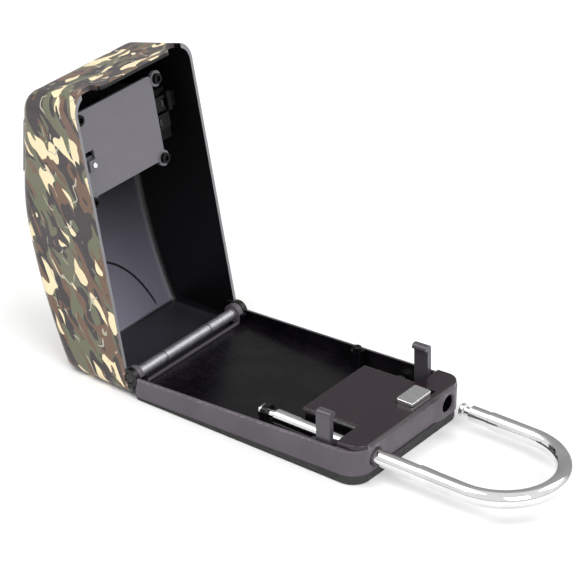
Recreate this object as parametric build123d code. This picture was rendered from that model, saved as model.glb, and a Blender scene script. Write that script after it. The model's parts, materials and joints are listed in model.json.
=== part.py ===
from build123d import *
import math
import os

# Padlock key safe, lying on its back with the lid standing open. Millimetres.
# X runs along the safe towards the shackle, Y across it, Z up from the back face.

# Base sizes
base_length = 135.0
base_width = 90.0
corner_radius = 10.5
hinge_corner_radius = 3.0
rim_low = 11.8
rim_high = 18.8
pad_low = 2.0
pad_high = 5.4
pad_inset = 0.7
tray_wall = 2.0
floor_top = 6.5
edge_break = 0.5

# Lock end of the base
end_block_length = 15.0
cover_thickness = 2.6
cover_side_inset = 2.3
cover_end_inset = 0.15
tongue_length = 32.0
tongue_low_inset = 20.0
tongue_high_inset = 19.0
tongue_ledge = 1.0
panel_leg_gap = 10.5
panel_slope = 5.0
panel_depth = 1.5
panel_blend = 8.0
panel_over = 0.02
mouth_flare = 1.2
mouth_depth = 1.3
cover_corner = 1.0
cover_edge = 0.6
cover_skin = 0.8

# Shackle
shackle_diameter = 8.0
bow_diameter = 8.8
leg_inset = 14.5
leg_height = 12.0
shackle_travel = 24.0
shoulder_clearance = 0.5
bow_reach = 55.5
toe_gap = 7.4
toe_nose = 2.2
toe_neck = 3.6
toe_neck_diameter = 4.6
toe_nose_diameter = 6.8
tail_diameter = 5.0
tail_neck = 7.0
tail_end = 2.6
inner_length = 58.5
leg_clearance = 0.1
toe_clearance = 0.4

# Shackle stop, clip and saddle
stop_length = 3.0
stop_width = 8.4
stop_top = 4.2
stop_gap = 0.1
swivel_clearance = 0.06
clip_thickness = 0.8
clip_diameter = 8.0
clip_groove_depth = 0.7
shoulder_chamfer = 0.3
leg_chamfer = 0.6
tail_chamfer = 0.4
toe_chamfer = 0.5
nose_round = 0.9
stop_round = 3.2
saddle_length = 2.4
saddle_drop = 0.3
saddle_half_width = 5.5

# Hinge
hinge_out = 2.8
hinge_z = 10.5
open_angle = 100.0
pin_diameter = 5.6
pin_clearance = 0.05
pin_inset = 0.4
ear_radius = 5.0
ear_width = 3.0
ear_sink = 0.1
knuckle_width = 3.3
knuckle_radius = 4.7
hinge_gap = 0.3
curb_gap = 0.9
rim_gap = 0.25

# Hooks that the lid's latches catch
hook_back = 26.5
hook_width = 8.0
hook_height = 15.5
hook_thickness = 3.0
hook_nose = 2.0
hook_nose_height = 2.8
hook_gap = 0.7
hook_rounds = [2.2, 1.8, 0.8]
foot_length = 11.0
foot_width = 6.5
foot_thickness = 2.0
foot_head_trim = 0.4
foot_head_height = 1.4

# Release slide
slide_back = 8.2
slide_length = 9.6
slide_leg_gap = 26.9
slide_width = 16.6
slide_proud = 2.2
slide_travel = 3.0
slide_gap = 0.25
slide_depth = 3.2
slide_corner = 1.2
slide_lead = 1.0
slide_edge = 0.35
leaf_thickness = 0.2
leaf_width = 2.6
leaf_inset = 1.0
bolt_width = 3.0
bolt_height = 3.2
bolt_leg_gap = 5.5

# Lid shell
lid_end_gap = 5.1
lid_end_wall = 2.4
lid_wall = 1.8
lid_top_wall = 2.2
heel_gap = 0.5
heel_foot = 0.4
crown_u = 73.7
crown_v = 51.4
back_arc = 300.0
front_arc = 97.0
nose_angle = 14.5
draft = 2.0
edge_radius = 6.0
heel_radius = 7.0
heel_reach = 40.0
low_reach = 15.0
notch_inside = 4.0
notch_outside = 7.5
notch_height = 4.5
lip_thickness = 2.2
lip_drop = 2.6
lip_corner = 2.5

# Lock plate and its screws
plate_length = 43.5
plate_end_gap = 4.0
plate_low_inset = 5.0
plate_high_inset = 25.0
plate_v = 8.5
plate_thickness = 1.6
plate_corner = 3.0
plate_ear = 4.0
plate_screw_offsets = [(0.5, -1.0), (-3.0, 3.5), (-2.0, 3.5), (-3.5, 4.0)]
screw_diameter = 3.0
screw_head_diameter = 5.4
screw_head_height = 1.7
screw_length = 8.0
screw_clearance = 0.05
screw_recess = 0.8
screw_recess_rim = 1.2
boss_radius = 3.6

# Number wheels
wheel_count = 4
wheel_pitch = 9.5
wheel_width = 7.6
wheel_radius = 11.0
wheel_proud = 1.5
wheel_flutes = 10
flute_radius = 1.6
flute_depth = 0.8
wheel_edge = 0.4
sleeve_radius = 5.5
sleeve_width = 8.6
sleeve_fit = 0.05
gate_depth = 1.2
gate_width = 2.4
axle_diameter = 6.0
axle_clearance = 0.06
cheek_thickness = 2.5
cheek_gap = 1.3
housing_half_u = 13.0
housing_base_v = 13.9
housing_web = 1.6
housing_gap = 0.1
detent_gap = 0.3
detent_thickness = 0.5
finger_lean = 3.0
finger_half = 2.0

# Front bezel and its weather cover
front_back = 26.0
bezel_side_inset = 11.5
bezel_up = 16.4
bezel_down = 16.2
bezel_corner = 4.0
bezel_thickness = 1.6
wheel_slot_gap = 0.35
flap_wall = 1.4
flap_height = 5.0
flap_gap = 0.4
flap_pin_diameter = 2.4
flap_knuckle_radius = 2.1
flap_pin_height = 2.9
flap_pin_back = 14.2
flap_knuckle_length = 3.0
flap_knuckle_inset = 3.0
flap_edge = 0.7

# Open button
button_side_inset = 19.0
button_diameter = 12.0
button_proud = 1.4
button_flange = 15.0
button_flange_thickness = 1.5
button_flange_gap = 0.3
button_stem = 5.0
button_travel = 4.0
button_gap = 0.25
button_edge = 0.6
foot_plate_v = 18.0
foot_plate_thickness = 1.6
shelf_v = 22.5
shelf_thickness = 1.6
spring_wire = 0.8
button_spring_radius = 4.0
button_spring_turns = 5.0
spring_seat = 0.25

# Latches
latch_travel = 2.4
latch_thickness = 2.4
latch_under_hook = 0.25
latch_tip_gap = 0.3
latch_width = 7.6
latch_rail = 1.6
latch_guide_gap = 0.2
latch_elbow = 4.6
latch_tip_shift = 0.2
latch_nose = 1.2
latch_overrun = 0.6
wedge_width = 3.6
wedge_tip = 1.5
wedge_drop = 0.3
wedge_gap = 0.1
wedge_spread = 5.0
near_latch_offset = -4.2
far_latch_offset = 4.9
latch_spring_wire = 0.5
latch_spring_radius = 1.15
near_spring_turns = 8.0
far_spring_turns = 5.0
spring_post = 2.0
bridge_wall = 0.9
latch_end_wall = 3.0
far_latch_inner = 6.5
near_post_offset = 1.5
near_window_offset = 12.0
near_window_gap = 0.5

# Code lever
lever_back = 27.5
lever_side_gap = 7.3
lever_length = 5.4
lever_width = 5.6
lever_travel = 4.0
lever_gap = 0.3
lever_flange = 1.2
lever_flange_thickness = 0.7
lever_proud = 1.5
lever_pin_diameter = 3.0
lever_pin_proud = 1.2
lever_edge = 0.5

# Peg on the far rim
peg_x = 6.0
peg_diameter = 4.4
peg_height = 2.2
peg_gap = 0.4
peg_step = 0.8
peg_wall = 1.0
peg_lift = 0.2

# Screws under the base and in the hooks' feet
head_sink = screw_head_height + 0.4
cover_screw_back = 10.5
cover_screw_y = 14.0
end_screw_back = 7.0
end_screw_y = 12.0
foot_shift = 3.5
foot_overlap = 0.6
foot_screw_shift = 3.4

# Grooves in the hinge pin
pin_groove_y = 17.0
pin_groove_width = 1.2
pin_groove_depth = 0.5

# Reaches past every piece, for cuts that go right through
beyond = 300.0

# Places that follow from the sizes
half_length = base_length / 2
half_width = base_width / 2
tilt = math.degrees(math.atan2(rim_high - rim_low, base_length))
open_turn = tilt + open_angle
hinge_x = -half_length - hinge_out
rim_end = (half_length - hinge_x) / math.cos(math.radians(tilt))
leg_y = half_width - leg_inset
block_start = half_length - end_block_length
shoulder_gap = shackle_travel + shoulder_clearance
panel_half_width = leg_y - panel_leg_gap
tongue_low_y = tongue_low_inset - half_width
tongue_high_y = half_width - tongue_high_inset
ear_outer = half_width - ear_sink
ear_inner = ear_outer - ear_width
slide_x = half_length - slide_back
slide_low_y = leg_y - slide_leg_gap
bolt_end_y = leg_y - bolt_leg_gap
hook_start = rim_end - hook_back
notch_low = leg_y - notch_inside
notch_high = leg_y + notch_outside
plate_high_u = rim_end - plate_end_gap
plate_low_u = plate_high_u - plate_length
plate_low_y = plate_low_inset - half_width
plate_high_y = half_width - plate_high_inset
wheels_y = (plate_low_y + plate_high_y) / 2
front_u = rim_end - front_back
bezel_half_y = half_width - bezel_side_inset
button_y = half_width - button_side_inset
flap_knuckle_y = bezel_half_y - flap_knuckle_inset
near_latch_u = hook_start + near_latch_offset
far_latch_u = hook_start + far_latch_offset
far_inner_y = button_y - far_latch_inner
near_post_y = wheels_y + near_post_offset
near_window = (wheels_y - near_window_offset, near_post_y + spring_post + near_window_gap)
lever_u = plate_high_u - lever_back
lever_y = plate_low_y + lever_side_gap
peg_y = half_width - lid_wall - peg_gap - peg_diameter / 2
plate_corners = [
    (plate_low_u, plate_high_y),
    (plate_high_u, plate_high_y),
    (plate_low_u, plate_low_y),
    (plate_high_u, plate_low_y),
]
plate_screws = [
    (u + along, y + across)
    for (u, y), (along, across) in zip(plate_corners, plate_screw_offsets)
]
cover_screw_places = [
    (block_start - cover_screw_back, -cover_screw_y),
    (block_start - cover_screw_back, cover_screw_y),
    (half_length - end_screw_back, -end_screw_y),
]
foot_x = hinge_x + hook_start + hook_width / 2 - foot_length / 2 - foot_shift
foot_y = half_width - tray_wall - hook_gap - foot_width / 2 + foot_overlap
foot_screw_places = [(foot_x - foot_screw_shift, side * foot_y) for side in (-1, 1)]

# The bolt meets the toe's neck when the shackle is home.
bolt_x = half_length + toe_gap + toe_nose + toe_neck / 2 - shackle_travel


def rim_at(x):
    return rim_low + (x + half_length) * (rim_high - rim_low) / base_length


def pad_at(x):
    return pad_low + (x + half_length) * (pad_high - pad_low) / base_length


# Height of the rim plane over the hinge axis, square to the rim
rim_lift = (rim_at(hinge_x) - hinge_z) * math.cos(math.radians(tilt))

# The rim frame has its origin on the hinge axis, u along the rim and v away from the base.
closed_place = Pos(hinge_x, 0, hinge_z) * Rot(0, -tilt, 0)
open_place = Pos(hinge_x, 0, hinge_z) * Rot(0, -open_turn, 0)


def span(x, y, z):
    """Block between pairs of limits."""
    middle = Pos(sum(x) / 2, sum(y) / 2, sum(z) / 2)
    return middle * Box(x[1] - x[0], y[1] - y[0], z[1] - z[0])


def rod_x(radius, start, end, y=0.0, z=0.0):
    return Pos((start + end) / 2, y, z) * Rot(0, 90, 0) * Cylinder(radius, end - start)


def rod_y(radius, start, end, x=0.0, z=0.0):
    return Pos(x, (start + end) / 2, z) * Rot(90, 0, 0) * Cylinder(radius, end - start)


def rod_z(radius, start, end, x=0.0, y=0.0):
    return Pos(x, y, (start + end) / 2) * Cylinder(radius, end - start)


def side_solid(points, y_low, y_high, radii=None):
    """Outline in X and Z, thickened from one Y to another."""
    face = make_face(Polyline(*points, close=True))
    for index, radius in (radii or {}).items():
        corner = Vector(*points[index])
        face = fillet(face.vertices().sort_by_distance(corner)[0], radius)
    solid = extrude(Plane.XZ * face, amount=y_high - y_low)
    return Pos(0, y_high, 0) * solid


def rounded_plan(low_x, high_x, half, high_radius, low_radius):
    face = Pos((low_x + high_x) / 2, 0) * Rectangle(high_x - low_x, 2 * half)
    face = fillet(face.vertices().group_by(Axis.X)[-1], high_radius)
    return fillet(face.vertices().group_by(Axis.X)[0], low_radius)


def coil(radius, wire, turns, length):
    """Compression spring standing on the origin along Z."""
    pitch = (length - wire) / turns
    path = Helix(pitch, pitch * turns, radius)
    start = Plane(path @ 0, z_dir=path % 0)
    spring = sweep(start * Circle(wire / 2), path=path)
    return Pos(0, 0, wire / 2) * spring


nodes = {}


def add(name, shape):
    nodes[name] = shape


# Base

above_rim = closed_place * span((-beyond, beyond), (-beyond, beyond), (rim_lift, beyond))
hinge_relief = rod_y(ear_radius + hinge_gap, -beyond, beyond, hinge_x, hinge_z)


def base_plan(inset):
    return rounded_plan(
        -half_length + inset,
        half_length - inset,
        half_width - inset,
        corner_radius - inset,
        hinge_corner_radius - inset,
    )


def pad_wedge():
    """Everything under the sloping join of pad and tray."""
    far = base_length
    points = [(-far, -far), (far, -far), (far, pad_at(far)), (-far, pad_at(-far))]
    return side_solid(points, -beyond, beyond)


def back_pad():
    pad = extrude(base_plan(pad_inset), amount=rim_low) & pad_wedge()
    return fillet(pad.faces().sort_by(Axis.Z)[0].edges(), edge_break)


def end_panel():
    """Shallow panel between the two shackle bosses, blended at both sides."""
    floor = half_length - panel_depth
    out = half_length + panel_over
    side = panel_half_width + panel_slope
    points = [
        (floor, -panel_half_width),
        (out, -side),
        (out, -base_width),
        (out + panel_blend, -base_width),
        (out + panel_blend, base_width),
        (out, base_width),
        (out, side),
        (floor, panel_half_width),
    ]
    face = make_face(Polyline(*points, close=True))
    for index in (0, 1, 6, 7):
        face = fillet(face.vertices().sort_by_distance(Vector(*points[index]))[0], panel_blend)
    return extrude(face, amount=beyond)


def slide_pocket():
    """Room for the release slide and its bolt under the cover."""
    low_x = slide_x - slide_length / 2 - slide_gap
    high_x = slide_x + slide_length / 2 + slide_gap
    low_y = slide_low_y - slide_gap
    high_y = slide_low_y + slide_width + slide_travel + slide_gap
    deck = rim_at(slide_x)
    pocket = span((low_x, high_x), (low_y, high_y), (deck - slide_depth - slide_gap, beyond))
    bolt_low = leg_height - bolt_height / 2 - slide_gap
    channel = span(
        (bolt_x - bolt_width / 2 - slide_gap, bolt_x + bolt_width / 2 + slide_gap),
        (slide_low_y + slide_width / 2, leg_y),
        (bolt_low, beyond),
    )
    return pocket + channel


def base_tray():
    tray = extrude(base_plan(0), amount=2 * rim_high)
    tray = tray - pad_wedge() - above_rim
    top = max(tray.faces(), key=lambda face: face.center().Z)
    tray = chamfer(top.edges(), edge_break)
    well_plan = rounded_plan(
        -half_length + tray_wall,
        block_start,
        half_width - tray_wall,
        edge_break,
        hinge_corner_radius - tray_wall,
    )
    tray -= Pos(0, 0, floor_top) * extrude(well_plan, amount=beyond)
    tray += span(
        (block_start - tongue_length + tongue_ledge, block_start + 1),
        (tongue_low_y + tongue_ledge, tongue_high_y - tongue_ledge),
        (floor_top - 1, beyond),
    ) - above_rim
    tray += saddle()
    tray += peg_boss()
    tray -= hinge_relief
    for side in (-1, 1):
        tray += knuckle(side)
    tray -= end_panel()
    tray -= rod_x(shackle_diameter / 2 + leg_clearance, block_start - 1, half_length + 1, -leg_y, leg_height)
    tray -= rod_x(shackle_diameter / 2 + toe_clearance, block_start - 1, half_length + 1, leg_y, leg_height)
    for side in (-1, 1):
        mouth = Pos(half_length + panel_over - mouth_depth / 2, side * leg_y, leg_height) * Rot(0, 90, 0)
        tray -= mouth * Cone(shackle_diameter / 2, shackle_diameter / 2 + mouth_flare, mouth_depth)
    tray -= slide_pocket()
    for x, y in cover_screw_places:
        tray -= rod_z(screw_diameter / 2 + screw_clearance, 0, beyond, x, y)
        tray -= rod_z(screw_head_diameter / 2 + screw_clearance, 0, pad_at(x) + head_sink, x, y)
    for x, y in foot_screw_places:
        tray -= rod_z(screw_diameter / 2 + screw_clearance, 0, floor_top + 1, x, y)
    return tray


def saddle():
    """Low rib under the long leg, which the shackle's stop meets when it is drawn out."""
    start = stop_face + stop_gap
    top = leg_height - shackle_diameter / 2 - saddle_drop
    rib = span(
        (start, start + saddle_length),
        (-leg_y - saddle_half_width, -leg_y + saddle_half_width),
        (floor_top - 0.5, top),
    )
    return rib


def peg_boss():
    """Pad on the far wall that carries the peg."""
    radius = peg_diameter / 2 + peg_wall
    low = floor_top - 0.5
    boss = rod_z(radius, low, beyond, peg_x, peg_y)
    boss += span((peg_x - radius, peg_x + radius), (peg_y, half_width - tray_wall / 2), (low, beyond))
    boss -= above_rim
    return boss - rod_z(peg_diameter / 2 - peg_step + screw_clearance, floor_top + 1, beyond, peg_x, peg_y)


def locating_peg():
    base = rim_at(peg_x)
    head = rod_z(peg_diameter / 2, base + peg_lift, base + peg_height, peg_x, peg_y)
    head = fillet(head.faces().sort_by(Axis.Z)[-1].edges(), peg_step)
    return head + rod_z(peg_diameter / 2 - peg_step, floor_top + 1.5, base + 1, peg_x, peg_y)


def knuckle(side):
    """Arm at the hinge end of the tray that holds the pin."""
    inner = ear_inner - hinge_gap - knuckle_width
    low, high = sorted((side * inner, side * (inner + knuckle_width)))
    arm = span((hinge_x, -half_length + 4), (low, high), (hinge_z - knuckle_radius, hinge_z + 1))
    boss = rod_y(knuckle_radius, low, high, hinge_x, hinge_z)
    hole = rod_y(pin_diameter / 2, low - 1, high + 1, hinge_x, hinge_z)
    return arm + boss - hole


def lock_cover():
    inset_x = half_length - cover_end_inset
    plan = rounded_plan(
        block_start,
        inset_x,
        half_width - cover_side_inset,
        corner_radius - cover_side_inset,
        cover_corner,
    )
    plan += Pos(block_start - tongue_length / 2 + 1, (tongue_low_y + tongue_high_y) / 2) * Rectangle(
        tongue_length + 2, tongue_high_y - tongue_low_y
    )
    lifted = closed_place * Pos(0, 0, rim_lift + cover_thickness / 2)
    slab = lifted * Box(2 * beyond, 2 * beyond, cover_thickness)
    plate = extrude(plan, amount=beyond) & slab
    top = max(plate.faces(), key=lambda face: face.center().Z)
    plate = fillet(top.edges(), cover_edge)
    slot = span(
        (slide_x - slide_length / 2 - slide_gap, slide_x + slide_length / 2 + slide_gap),
        (slide_low_y - slide_gap, slide_low_y + slide_width + slide_travel + slide_gap),
        (0, beyond),
    )
    plate -= slot
    for x, y in cover_screw_places:
        hole_top = rim_at(x) + cover_thickness - cover_skin
        plate -= rod_z(screw_diameter / 2 + screw_clearance, 0, hole_top, x, y)
    return plate


def cover_screws():
    screws = []
    for x, y in cover_screw_places:
        sunk = pad_at(x) + head_sink
        shank = rod_z(screw_diameter / 2, sunk - 0.5, rim_at(x) + cover_skin, x, y)
        head = rod_z(screw_head_diameter / 2, sunk - screw_head_height, sunk, x, y)
        screws.append(shank + head)
    return Compound(children=screws)


def hook(side):
    """Steel hook standing at the side wall, with its nose turned inwards."""
    outer = half_width - tray_wall - hook_gap
    base_v = -rim_high
    tall = rim_lift + hook_height
    points = [
        (outer, base_v),
        (outer, tall),
        (outer - hook_thickness - hook_nose, tall),
        (outer - hook_thickness - hook_nose, tall - hook_nose_height),
        (outer - hook_thickness, tall - hook_nose_height),
        (outer - hook_thickness, base_v),
    ]
    face = make_face(Polyline(*points, close=True))
    for point, radius in zip(points[1:], hook_rounds):
        face = fillet(face.vertices().sort_by_distance(Vector(*point))[0], radius)
    shank = Pos(hook_start, 0, 0) * extrude(Plane.YZ * face, amount=hook_width)
    shank = closed_place * shank
    shank -= span((-beyond, beyond), (-beyond, beyond), (-beyond, floor_top))
    foot = span(
        (foot_x - foot_length / 2, foot_x + foot_length / 2),
        (outer - foot_width, outer),
        (floor_top, floor_top + foot_thickness),
    )
    post = shank + foot
    post -= rod_z(screw_diameter / 2 + screw_clearance, 0, floor_top + 5, foot_screw_places[1][0], foot_y)
    return post if side > 0 else mirror(post, about=Plane.XZ)


def hook_screws():
    screws = []
    for x, y in foot_screw_places:
        shank = rod_z(screw_diameter / 2, pad_at(x) + 0.3, floor_top + foot_thickness + 0.5, x, y)
        top = floor_top + foot_thickness
        head = rod_z(screw_head_diameter / 2 - foot_head_trim, top, top + foot_head_height, x, y)
        screws.append(shank + head)
    return Compound(children=screws)


def hinge_pin():
    reach = ear_outer - pin_inset
    pin = rod_y(pin_diameter / 2, -reach, reach, hinge_x, hinge_z)
    pin = chamfer(pin.edges().filter_by(GeomType.CIRCLE), pin_inset)
    for start in (-pin_groove_y - pin_groove_width, pin_groove_y):
        ring = rod_y(pin_diameter, start, start + pin_groove_width, hinge_x, hinge_z)
        pin -= ring - rod_y(pin_diameter / 2 - pin_groove_depth, -reach, reach, hinge_x, hinge_z)
    return pin


def release_slide():
    """Silver block above the cover, with the bolt that enters the toe's neck."""
    deck = rim_at(slide_x)
    top = deck + cover_thickness + slide_proud
    block = span(
        (slide_x - slide_length / 2, slide_x + slide_length / 2),
        (slide_low_y, slide_low_y + slide_width),
        (deck - slide_depth, top),
    )
    block = fillet(block.edges().filter_by(Axis.Z), slide_corner)
    lead = block.edges().filter_by(Axis.X).group_by(Axis.Z)[-1].sort_by(Axis.Y)[0]
    block = fillet(lead, slide_edge)
    bolt_side = (bolt_x - bolt_width / 2, bolt_x + bolt_width / 2)
    bolt_start = slide_low_y + slide_width / 2 + slide_gap
    bolt_low = leg_height - bolt_height / 2
    bolt = span(bolt_side, (bolt_start, slide_low_y + slide_width), (bolt_low, deck - slide_depth + 1))
    bolt += span(bolt_side, (bolt_start, bolt_end_y), (bolt_low, leg_height + bolt_height / 2))
    return block + bolt


def release_leaf():
    """Bowed leaf under the slide, which holds it where it is put."""
    deck = rim_at(slide_x)
    floor = deck - slide_depth - slide_gap
    return span(
        (slide_x + leaf_inset, slide_x + leaf_inset + leaf_width),
        (slide_low_y + leaf_inset, slide_low_y + slide_width),
        (floor, floor + leaf_thickness),
    )


# Shackle

shoulder_x = half_length + shoulder_gap
toe_x = half_length + toe_gap
inner_end = shoulder_x - shoulder_gap - inner_length - tail_neck - tail_end
stop_face = inner_end + tail_end + stop_length


def bow_path():
    straight = shoulder_x + bow_reach - leg_y
    up = Line((shoulder_x, -leg_y), (straight, -leg_y))
    bend = ThreePointArc((straight, -leg_y), (straight + leg_y, 0), (straight, leg_y))
    back = Line((straight, leg_y), (shoulder_x, leg_y))
    return Pos(0, 0, leg_height) * Wire([up, bend, back])


def shackle():
    start = Plane((shoulder_x, -leg_y, leg_height), z_dir=(1, 0, 0))
    bow = sweep(start * Circle(bow_diameter / 2), path=bow_path())
    circles = bow.edges().filter_by(GeomType.CIRCLE)
    ends = [edge for edge in circles if abs(edge.center().X - shoulder_x) < 0.1]
    body = chamfer(ends, shoulder_chamfer)
    leg_start = inner_end + tail_end + tail_neck
    leg = rod_x(shackle_diameter / 2, leg_start, shoulder_x + 1, -leg_y, leg_height)
    leg = chamfer(leg.edges().group_by(Axis.X)[0], leg_chamfer)
    tail = rod_x(tail_diameter / 2, inner_end, leg_start + 1, -leg_y, leg_height)
    tail = chamfer(tail.edges().group_by(Axis.X)[0], tail_chamfer)
    groove_start = inner_end + tail_end - clip_thickness - stop_gap
    groove = rod_x(5, groove_start, groove_start + clip_thickness, -leg_y, leg_height) - rod_x(
        tail_diameter / 2 - clip_groove_depth, groove_start - 1, groove_start + 2, -leg_y, leg_height
    )
    tail -= groove
    body += leg + tail
    neck_end = toe_x + toe_nose + toe_neck
    toe = rod_x(shackle_diameter / 2, neck_end, shoulder_x + 1, leg_y, leg_height)
    toe = chamfer(toe.edges().group_by(Axis.X)[0], toe_chamfer)
    neck = rod_x(toe_neck_diameter / 2, toe_x + 1, neck_end + 1, leg_y, leg_height)
    nose = rod_x(toe_nose_diameter / 2, toe_x, toe_x + toe_nose, leg_y, leg_height)
    nose = fillet(nose.edges().group_by(Axis.X)[0], nose_round)
    return body + toe + neck + nose


def shackle_stop():
    start = stop_face - stop_length
    block = span(
        (start, stop_face),
        (-leg_y - stop_width / 2, -leg_y + stop_width / 2),
        (floor_top + 0.4, leg_height + stop_top),
    )
    upper = [edge for edge in block.edges().filter_by(Axis.X) if edge.center().Z > leg_height]
    block = fillet(upper, stop_round)
    return block - rod_x(tail_diameter / 2 + swivel_clearance, start - 1, stop_face + 1, -leg_y, leg_height)


def shackle_clip():
    start = inner_end + tail_end - clip_thickness - stop_gap
    inner = tail_diameter / 2 - clip_groove_depth
    ring = rod_x(clip_diameter / 2, start, start + clip_thickness, -leg_y, leg_height)
    ring -= rod_x(inner, start - 1, start + 2, -leg_y, leg_height)
    return ring - span(
        (start - 1, start + 2), (-leg_y - inner * 0.8, -leg_y + inner * 0.8), (leg_height - 6, leg_height)
    )


# Lid, built in the rim frame as it lies when closed

lid_end = rim_end + lid_end_gap + lid_end_wall


def heel_line(v, inset):
    """Place along the rim where the heel's face is, at a height v."""
    turn = math.radians(open_turn)
    drop = hinge_z - heel_gap - inset
    return -(drop + math.cos(turn) * v) / math.sin(turn)


def front_at(u, inset=0.0):
    """Height of the flat part of the front over the hinge axis."""
    turn = math.radians(nose_angle)
    radius = front_arc - inset
    start_u = crown_u + radius * math.sin(turn)
    start_v = crown_v - inset - radius * (1 - math.cos(turn))
    return start_v - (u - start_u) * math.tan(turn)


def lid_profile(inset):
    """Side outline of the lid, open below."""
    turn = math.radians(nose_angle)
    far_u = -heel_reach
    low_v = -low_reach
    back = back_arc - inset
    front = front_arc - inset
    top = crown_v - inset

    def back_at(u):
        return top - back + math.sqrt(back**2 - (u - crown_u) ** 2)

    def front_arc_at(angle):
        return (crown_u + front * math.sin(angle), top - front * (1 - math.cos(angle)))

    middle = (far_u + crown_u) / 2
    arc_end = front_arc_at(turn)
    end = (lid_end + 12, front_at(lid_end + 12, inset))
    curve = [
        ThreePointArc((far_u, back_at(far_u)), (middle, back_at(middle)), (crown_u, top)),
        ThreePointArc((crown_u, top), front_arc_at(turn / 2), arc_end),
        Line(arc_end, end),
    ]
    below = Polyline(end, (end[0], low_v), (far_u, low_v), (far_u, back_at(far_u)))
    under = make_face(curve + list(below.edges()))
    high = 2 * crown_v
    heel = [(heel_line(low_v, inset), low_v), (heel_line(high, inset), high), (beyond, high), (beyond, low_v)]
    return under & make_face(Polyline(*heel, close=True))


def lid_block(inset, end_inset, top_inset):
    """Solid bounded by the lid's outside, or by its inside where the insets are the walls."""
    half = half_width - inset
    end = lid_end - end_inset
    plan = Pos((end - beyond) / 2, 0) * Rectangle(end + beyond, 2 * half)
    plan = fillet(plan.vertices().group_by(Axis.X)[-1], corner_radius - inset)
    body = extrude(plan, amount=crown_v + heel_radius, taper=draft) + extrude(plan, amount=-low_reach)
    body &= extrude(Plane.XZ * lid_profile(top_inset), amount=beyond, both=True)
    heel_top = []
    for edge in body.edges():
        middle = edge.center()
        if middle.X < corner_radius and middle.Z > crown_v / 2 and abs(middle.Y) < 1:
            heel_top.append(edge)
    body = fillet(heel_top, heel_radius - top_inset)
    rounded = []
    for edge in body.edges():
        middle = edge.center()
        across_heel = middle.X < 2 * corner_radius and abs(middle.Y) < 1
        lowest = ear_radius if middle.X < heel_radius else crown_v / 2
        if edge.length > lid_wall and not across_heel and middle.Z > lowest:
            if abs(middle.Y) > half_width / 2 or middle.X > lid_end - corner_radius:
                rounded.append(edge)
    return fillet(rounded, edge_radius - inset)


front_place = Pos(front_u, 0, front_at(front_u)) * Rot(0, nose_angle, 0)
button_flange_v = front_at(front_u + button_flange / 2, lid_top_wall) - button_flange_gap
wheel_sink = wheel_radius - bezel_thickness - wheel_proud
axle_u = front_u - wheel_sink * math.sin(math.radians(nose_angle))
axle_v = front_at(front_u) - wheel_sink * math.cos(math.radians(nose_angle))
plate_back = plate_v + plate_thickness
wheel_places = [wheels_y + (index - (wheel_count - 1) / 2) * wheel_pitch for index in range(wheel_count)]
cheek_low = wheel_places[0] - wheel_width / 2 - cheek_gap
cheek_high = wheel_places[-1] + wheel_width / 2 + cheek_gap
latch_top = rim_lift + hook_height - hook_nose_height - latch_under_hook
latch_v = latch_top - latch_thickness
hook_inner = half_width - tray_wall - hook_gap - hook_thickness
tip_y = hook_inner - latch_tip_gap
hook_path = (hook_start - 2.0, hook_start + hook_width + 2.0)


def plate_hole(places, radius, low, high):
    holes = [rod_z(radius, low, high, u, y) for u, y in places]
    return Compound(children=holes)


def end_lip(outside):
    """Rounded tab of the end wall that hangs over the base's end, between the shackle's legs."""
    tab = span(
        (lid_end - lip_thickness, beyond),
        (-notch_low, notch_low),
        (rim_lift - lip_drop, rim_lift + notch_height),
    )
    low = [edge for edge in tab.edges().filter_by(Axis.X) if edge.center().Z < rim_lift]
    return fillet(low, lip_corner) & outside


def lid_shell():
    outside = lid_block(0, 0, 0)
    shell = outside - lid_block(lid_wall, lid_end_wall, lid_top_wall)
    shell -= span((0, beyond), (-beyond, beyond), (-beyond, rim_lift + rim_gap))
    shell -= span((-beyond, 1), (-beyond, beyond), (-beyond, heel_foot))
    inside = lid_block(lid_wall / 3, lid_wall / 3, lid_wall / 3)
    for u, y in plate_screws:
        pillar = rod_z(boss_radius, plate_back, beyond, u, y) & inside
        shell += pillar - rod_z(screw_diameter / 2 + screw_clearance, 0, plate_back + screw_length, u, y)
    shell += end_lip(outside)
    for side in (-1, 1):
        low, high = sorted((side * ear_inner, side * ear_outer))
        ear = rod_y(ear_radius, low, high)
        ear += span((-ear_radius, ear_radius), (low, high), (0, ear_radius))
        shell += ear
        shell -= rod_y(pin_diameter / 2 + pin_clearance, low - 1, high + 1)
        notch_y = sorted((side * notch_low, side * notch_high))
        shell -= span((rim_end - tray_wall, beyond), notch_y, (0, rim_lift + notch_height))
    window = span(
        (-wheel_radius, wheel_radius),
        (cheek_low + cheek_gap / 2, cheek_high - cheek_gap / 2),
        (-wheel_radius, wheel_radius),
    )
    shell -= front_place * window
    return shell - rod_z(button_diameter / 2 + button_gap, shelf_v, beyond, front_u, button_y)


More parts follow.
